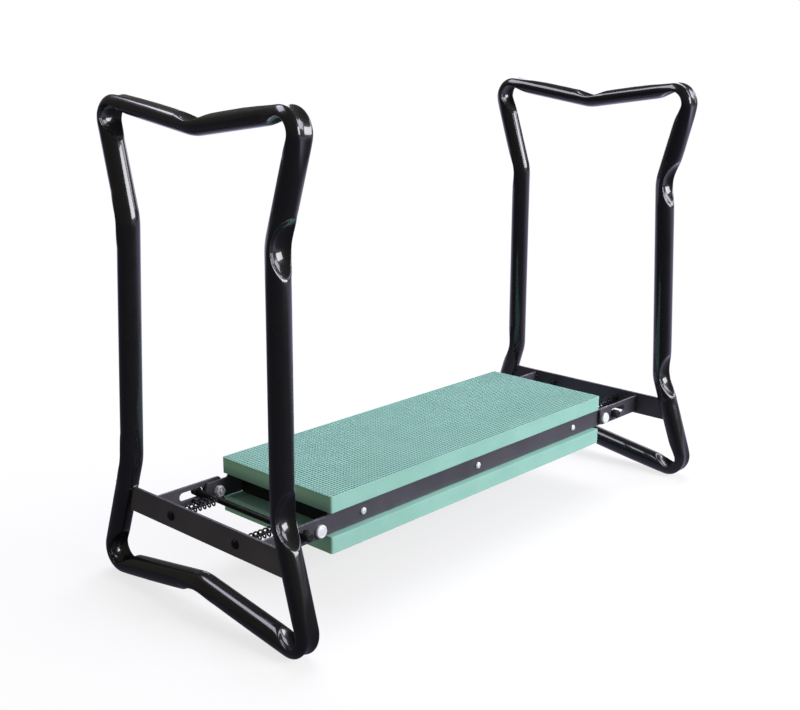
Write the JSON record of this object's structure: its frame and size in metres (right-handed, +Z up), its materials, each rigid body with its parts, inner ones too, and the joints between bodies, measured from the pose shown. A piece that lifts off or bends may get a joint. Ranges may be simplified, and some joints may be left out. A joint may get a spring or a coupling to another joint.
{
  "type": "folding garden kneeler seat",
  "caption": "Folding kneeler and stool: two bent tube side frames hinge on a low padded seat and lock with sprung rods.",
  "frame": {"origin": "on the ground below the middle of the seat", "axes": "+X along the seat towards the right-hand side frame, +Y to the rear, +Z up, standing as a kneeler"},
  "size_m": [0.6418, 0.3002, 0.4743],
  "materials": {
    "tube_enamel": "gloss black stoved enamel",
    "bracket_enamel": "satin dark grey enamel",
    "dark_hardware": "black oxide",
    "zinc_hardware": "bright zinc plate",
    "foam": "closed-cell foam, light sea green, dimpled",
    "black_plastic": "moulded black plastic"
  },
  "bodies": {
    "seat": {"pad_top": "foam", "pad_bottom": "foam", "seat_core": "black_plastic", "cross_member_left": "bracket_enamel", "cross_member_right": "bracket_enamel", "seat_rail_front": "bracket_enamel", "seat_rail_rear": "bracket_enamel", "rail_screw_front_left": "zinc_hardware", "rail_screw_front_middle": "zinc_hardware", "rail_screw_front_right": "zinc_hardware", "rail_screw_rear_left": "zinc_hardware", "rail_screw_rear_middle": "zinc_hardware", "rail_screw_rear_right": "zinc_hardware", "pivot_bolt_left_front": "zinc_hardware", "pivot_washer_left_front": "black_plastic", "pivot_nut_left_front": "zinc_hardware", "pivot_bolt_left_rear": "zinc_hardware", "pivot_washer_left_rear": "black_plastic", "pivot_nut_left_rear": "zinc_hardware", "pivot_bolt_right_front": "zinc_hardware", "pivot_washer_right_front": "black_plastic", "pivot_nut_right_front": "zinc_hardware", "pivot_bolt_right_rear": "zinc_hardware", "pivot_washer_right_rear": "black_plastic", "pivot_nut_right_rear": "zinc_hardware"},
    "left_frame": {"side_frame_left": "tube_enamel", "cross_bar_left": "bracket_enamel", "hinge_arm_left_front": "bracket_enamel", "hinge_arm_left_rear": "bracket_enamel", "spring_pin_left_front": "dark_hardware", "spring_pin_left_rear": "dark_hardware", "lock_spring_left_front": "dark_hardware", "lock_spring_left_rear": "dark_hardware"},
    "left_lock": {"locking_rod_left": "dark_hardware", "rod_cap_left_front": "black_plastic", "rod_cap_left_rear": "black_plastic"},
    "right_frame": {"side_frame_right": "tube_enamel", "cross_bar_right": "bracket_enamel", "hinge_arm_right_front": "bracket_enamel", "hinge_arm_right_rear": "bracket_enamel", "spring_pin_right_front": "dark_hardware", "spring_pin_right_rear": "dark_hardware", "lock_spring_right_front": "dark_hardware", "lock_spring_right_rear": "dark_hardware"},
    "right_lock": {"locking_rod_right": "dark_hardware", "rod_cap_right_front": "black_plastic", "rod_cap_right_rear": "black_plastic"}
  },
  "joints": [
    {"name": "left_fold", "type": "hinge", "parent": "seat", "child": "left_frame", "pos_m": [-0.2332, 0, 0.0794], "axis": [0, 1, 0], "range_deg": [0, 90]},
    {"name": "left_release", "type": "slide", "parent": "left_frame", "child": "left_lock", "axis": [-1, 0, 0], "range_m": [0, 0.014], "stiffness_N_per_m": 900, "springref_m": -0.006, "deforming": ["lock_spring_left_front", "lock_spring_left_rear"]},
    {"name": "right_fold", "type": "hinge", "parent": "seat", "child": "right_frame", "pos_m": [0.2332, 0, 0.0794], "axis": [0, -1, 0], "range_deg": [0, 80]},
    {"name": "right_release", "type": "slide", "parent": "right_frame", "child": "right_lock", "axis": [1, 0, 0], "range_m": [0, 0.014], "stiffness_N_per_m": 900, "springref_m": -0.006, "deforming": ["lock_spring_right_front", "lock_spring_right_rear"]}
  ]
}
